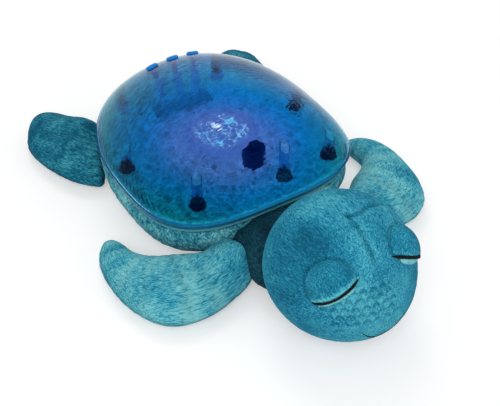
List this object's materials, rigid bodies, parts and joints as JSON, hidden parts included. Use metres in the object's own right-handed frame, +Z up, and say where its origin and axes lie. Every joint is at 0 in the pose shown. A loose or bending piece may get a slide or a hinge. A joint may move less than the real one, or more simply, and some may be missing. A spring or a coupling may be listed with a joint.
{
  "type": "turtle night light projector",
  "caption": "Stuffed sea turtle with sewn flippers and a translucent dome that houses a battery light with a turning rippled lens and push buttons.",
  "frame": {"origin": "point of the floor under the middle of the turning lens, on the flat belly of the plush body", "axes": "+Z up, -Y towards the head, +X towards the turtle's left flippers"},
  "size_m": [0.2864, 0.4022, 0.1099],
  "materials": {
    "plush_teal": "short mottled plush pile",
    "plush_lid": "short plush pile, lighter",
    "thread_black": "satin stitch thread",
    "binding_web": "woven binding tape",
    "hook_loop": "hook and loop tape",
    "shell_blue": "moulded translucent plastic, glossy",
    "housing_plastic": "moulded plastic, fine grain",
    "deck_plastic": "moulded plastic, satin",
    "inner_dark": "moulded plastic, satin",
    "gear_white": "moulded acetal, satin",
    "lens_clear": "moulded clear plastic, polished",
    "button_plastic": "moulded plastic, satin gloss",
    "board_green": "solder mask on glass laminate",
    "part_black": "moulded component plastic",
    "led_clear": "clear moulded resin",
    "steel_bright": "zinc plated steel",
    "steel_dark": "drawn steel can",
    "cone_paper": "pressed paper",
    "cell_jacket": "printed film sleeve, plain colour",
    "lead_insulation": "soft vinyl insulation"
  },
  "bodies": {
    "torso_unit": {"base_tray": "housing_plastic", "battery_cells": "cell_jacket", "battery_cover": "housing_plastic", "battery_lead": "lead_insulation", "beam_lens": "lens_clear", "board_parts": "part_black", "board_screws": "steel_bright", "boss_collars": "inner_dark", "button_boards": "board_green", "button_bracket": "inner_dark", "button_lead": "lead_insulation", "contact_plates": "steel_bright", "contact_springs": "steel_bright", "cover_screw": "steel_bright", "deck_plate": "deck_plastic", "deck_screws": "steel_bright", "lamp_board": "board_green", "lamp_cup": "inner_dark", "lamp_lead": "lead_insulation", "lamp_leds": "led_clear", "lash_line_left": "thread_black", "lash_line_right": "thread_black", "lens_hooks": "inner_dark", "loop_tape": "hook_loop", "lower_eyelid_left": "plush_lid", "lower_eyelid_right": "plush_lid", "main_board": "board_green", "motor_bracket": "inner_dark", "motor_can": "steel_dark", "motor_lead": "lead_insulation", "mouth_stitch": "thread_black", "pinion_cover": "inner_dark", "plush_head": "plush_teal", "plush_neck": "plush_teal", "plush_torso": "plush_teal", "rim_binding": "binding_web", "shell_dome": "shell_blue", "speaker_clamp": "inner_dark", "speaker_cone": "cone_paper", "speaker_frame": "steel_dark", "speaker_lead": "lead_insulation", "speaker_magnet": "steel_dark", "tact_switches": "part_black", "unit_screws": "steel_bright", "upper_eyelid_left": "plush_teal", "upper_eyelid_right": "plush_teal"},
    "front_flipper_left": {"front_flipper_left": "plush_teal"},
    "front_flipper_right": {"front_flipper_right": "plush_teal"},
    "rear_flipper_left": {"rear_flipper_left": "plush_teal"},
    "rear_flipper_right": {"rear_flipper_right": "plush_teal"},
    "button_left": {"button_left": "button_plastic"},
    "button_middle": {"button_middle": "button_plastic"},
    "button_right": {"button_right": "button_plastic"},
    "reduction_gear": {"reduction_gear": "gear_white"},
    "motor_pinion": {"motor_pinion": "gear_white"},
    "belly_flap": {"belly_flap": "plush_teal", "hook_tape": "hook_loop"},
    "wave_disc": {"wave_lens": "lens_clear", "lens_ring_gear": "gear_white"}
  },
  "joints": [
    {"name": "front_flipper_right_lift", "type": "hinge", "parent": "torso_unit", "child": "front_flipper_right", "pos_m": [-0.042, 0, 0.013], "axis": [0, 1, 0], "range_deg": [0, 15]},
    {"name": "front_flipper_left_lift", "type": "hinge", "parent": "torso_unit", "child": "front_flipper_left", "pos_m": [0.042, 0, 0.013], "axis": [0, -1, 0], "range_deg": [0, 15]},
    {"name": "rear_flipper_right_lift", "type": "hinge", "parent": "torso_unit", "child": "rear_flipper_right", "pos_m": [-0.09187, 0.04284, 0.025], "axis": [0.4226, 0.9063, 0], "range_deg": [0, 20]},
    {"name": "rear_flipper_left_lift", "type": "hinge", "parent": "torso_unit", "child": "rear_flipper_left", "pos_m": [0.09187, 0.04284, 0.025], "axis": [0.4226, -0.9063, 0], "range_deg": [0, 20]},
    {"name": "button_right_press", "type": "slide", "parent": "torso_unit", "child": "button_right", "axis": [0.1734, -0.4947, -0.8516], "range_m": [0, 0.0008], "stiffness_N_per_m": 1500, "springref_m": -0.0003},
    {"name": "button_middle_press", "type": "slide", "parent": "torso_unit", "child": "button_middle", "axis": [0, -0.4999, -0.8661], "range_m": [0, 0.0008], "stiffness_N_per_m": 1500, "springref_m": -0.0003},
    {"name": "button_left_press", "type": "slide", "parent": "torso_unit", "child": "button_left", "axis": [-0.1734, -0.4947, -0.8516], "range_m": [0, 0.0008], "stiffness_N_per_m": 1500, "springref_m": -0.0003},
    {"name": "belly_flap_open", "type": "hinge", "parent": "torso_unit", "child": "belly_flap", "pos_m": [0, 0.0075, 0.0005], "axis": [-1, 0, 0], "range_deg": [0, 85]},
    {"name": "wave_disc_spin", "type": "hinge", "parent": "torso_unit", "child": "wave_disc", "pos_m": [0, 0, 0.0591], "axis": [0, 0, 1], "continuous": true},
    {"name": "reduction_gear_spin", "type": "hinge", "parent": "torso_unit", "child": "reduction_gear", "pos_m": [0.00933, -0.03483, 0.0415], "axis": [0, 0, 1], "continuous": true},
    {"name": "motor_pinion_spin", "type": "hinge", "parent": "torso_unit", "child": "motor_pinion", "pos_m": [-0.00576, -0.04032, 0.0415], "axis": [0, 0, 1], "continuous": true}
  ],
  "couplings": [
    {"joint": "reduction_gear_spin", "follows": "wave_disc_spin", "ratio": -5},
    {"joint": "motor_pinion_spin", "follows": "wave_disc_spin", "ratio": 15}
  ]
}
